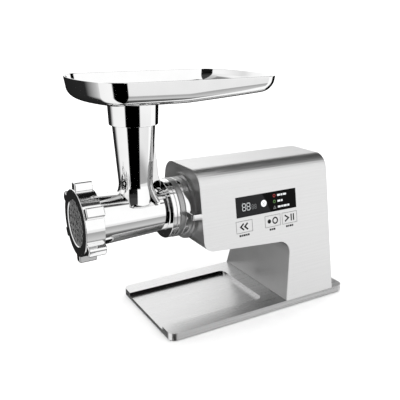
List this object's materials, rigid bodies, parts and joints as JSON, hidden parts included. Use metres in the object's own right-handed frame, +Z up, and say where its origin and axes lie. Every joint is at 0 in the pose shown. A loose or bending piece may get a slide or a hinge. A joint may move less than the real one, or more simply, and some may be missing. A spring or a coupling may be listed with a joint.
{
  "type": "electric meat grinder",
  "caption": "Countertop electric meat grinder with a steel head, lift-off feed tray, lock lever and a drip recess in its base.",
  "frame": {"origin": "middle of the underside of the machine's bounding box, on the table", "axes": "+X from the ring nut to the rear cover along the auger, +Y away from the button panel, +Z up"},
  "size_m": [0.4306, 0.2008, 0.3678],
  "materials": {
    "polished_steel": "mirror polished stainless steel",
    "brushed_steel": "brushed stainless steel",
    "satin_cover": "satin grey",
    "machined_steel": "machined",
    "black_glass": "gloss black",
    "black_plastic": "moulded",
    "rubber": "matt",
    "nylon": "natural nylon",
    "cast_aluminium": "die cast",
    "laminated_steel": "laminated",
    "copper": "enamelled copper",
    "circuit_board": "solder resist"
  },
  "bodies": {
    "housing": {"base_plate": "brushed_steel", "base_bottom_cover": "black_plastic", "rubber_foot_1": "rubber", "rubber_foot_2": "rubber", "rubber_foot_3": "rubber", "rubber_foot_4": "rubber", "body_shell": "brushed_steel", "front_cap": "satin_cover", "leg_cover": "satin_cover", "rear_cover": "satin_cover", "cover_screw_1": "machined_steel", "cover_screw_2": "machined_steel", "cover_screw_3": "machined_steel", "cover_screw_4": "machined_steel", "cable_gland": "black_plastic", "display_window": "black_glass", "display_board": "circuit_board", "head_socket": "brushed_steel", "output_bearing_front": "machined_steel", "output_bearing_rear": "machined_steel", "gearbox_housing": "cast_aluminium", "gearbox_cover": "cast_aluminium", "motor_stator": "laminated_steel", "field_coil_upper": "copper", "field_coil_lower": "copper", "motor_front_bracket": "cast_aluminium", "motor_rear_bracket": "cast_aluminium", "motor_bearing_front": "machined_steel", "motor_bearing_rear": "machined_steel", "brush_holder_left": "copper", "brush_holder_right": "copper", "carbon_brush_left": "black_plastic", "carbon_brush_right": "black_plastic", "power_board": "circuit_board", "run_capacitor": "black_plastic"},
    "reverse_button": {"button_reverse": "brushed_steel"},
    "power_button": {"button_power": "brushed_steel"},
    "start_button": {"button_start": "brushed_steel"},
    "lock": {"lock_ring": "polished_steel"},
    "head": {"head_casting": "polished_steel", "head_throat": "polished_steel", "head_bush": "nylon", "thrust_washer": "nylon"},
    "tray": {"hopper_tray": "polished_steel", "tray_collar": "polished_steel"},
    "plate": {"cutting_plate": "machined_steel"},
    "nut": {"ring_nut": "polished_steel"},
    "screw": {"auger": "machined_steel", "cutting_knife": "machined_steel"},
    "output": {"drive_coupling": "machined_steel", "output_shaft": "machined_steel", "output_gear": "machined_steel"},
    "lay": {"layshaft": "machined_steel", "layshaft_pinion": "machined_steel", "layshaft_gear": "nylon"},
    "rotor": {"motor_shaft": "machined_steel", "armature": "laminated_steel", "commutator": "copper", "cooling_fan": "nylon"}
  },
  "joints": [
    {"name": "reverse_press", "type": "slide", "parent": "housing", "child": "reverse_button", "axis": [0, 0.9861, -0.1661], "range_m": [0, 0.0012], "stiffness_N_per_m": 500, "springref_m": -0.0004},
    {"name": "power_press", "type": "slide", "parent": "housing", "child": "power_button", "axis": [0, 0.9861, -0.1661], "range_m": [0, 0.0012], "stiffness_N_per_m": 500, "springref_m": -0.0004},
    {"name": "start_press", "type": "slide", "parent": "housing", "child": "start_button", "axis": [0, 0.9861, -0.1661], "range_m": [0, 0.0012], "stiffness_N_per_m": 500, "springref_m": -0.0004},
    {"name": "lock_turn", "type": "hinge", "parent": "housing", "child": "lock", "pos_m": [-0.05875, 0, 0.1724], "axis": [-1, 0, 0], "range_deg": [0, 40]},
    {"name": "head_pull", "type": "slide", "parent": "housing", "child": "head", "axis": [-1, 0, 0], "range_m": [0, 0.045]},
    {"name": "tray_lift", "type": "slide", "parent": "head", "child": "tray", "axis": [0, 0, 1], "range_m": [0, 0.04]},
    {"name": "plate_slide", "type": "slide", "parent": "head", "child": "plate", "axis": [-1, 0, 0], "range_m": [0, 0.006]},
    {"name": "nut_turn", "type": "hinge", "parent": "plate", "child": "nut", "pos_m": [-0.20275, 0, 0.1724], "axis": [-1, 0, 0], "range_deg": [0, 720]},
    {"name": "auger_spin", "type": "hinge", "parent": "head", "child": "screw", "pos_m": [-0.11475, 0, 0.1724], "axis": [1, 0, 0], "continuous": true},
    {"name": "output_spin", "type": "hinge", "parent": "housing", "child": "output", "pos_m": [-0.03475, 0, 0.1724], "axis": [1, 0, 0], "continuous": true},
    {"name": "layshaft_spin", "type": "hinge", "parent": "housing", "child": "lay", "pos_m": [-0.01675, 0.03072, 0.15089], "axis": [1, 0, 0], "continuous": true},
    {"name": "rotor_spin", "type": "hinge", "parent": "housing", "child": "rotor", "pos_m": [0.07025, 0.00819, 0.16666], "axis": [1, 0, 0], "continuous": true}
  ],
  "couplings": [
    {"joint": "layshaft_spin", "follows": "rotor_spin", "ratio": -0.25},
    {"joint": "output_spin", "follows": "rotor_spin", "ratio": 0.0625},
    {"joint": "auger_spin", "follows": "rotor_spin", "ratio": 0.0625},
    {"joint": "plate_slide", "follows": "nut_turn", "m_per_rad": 0.0004774}
  ]
}
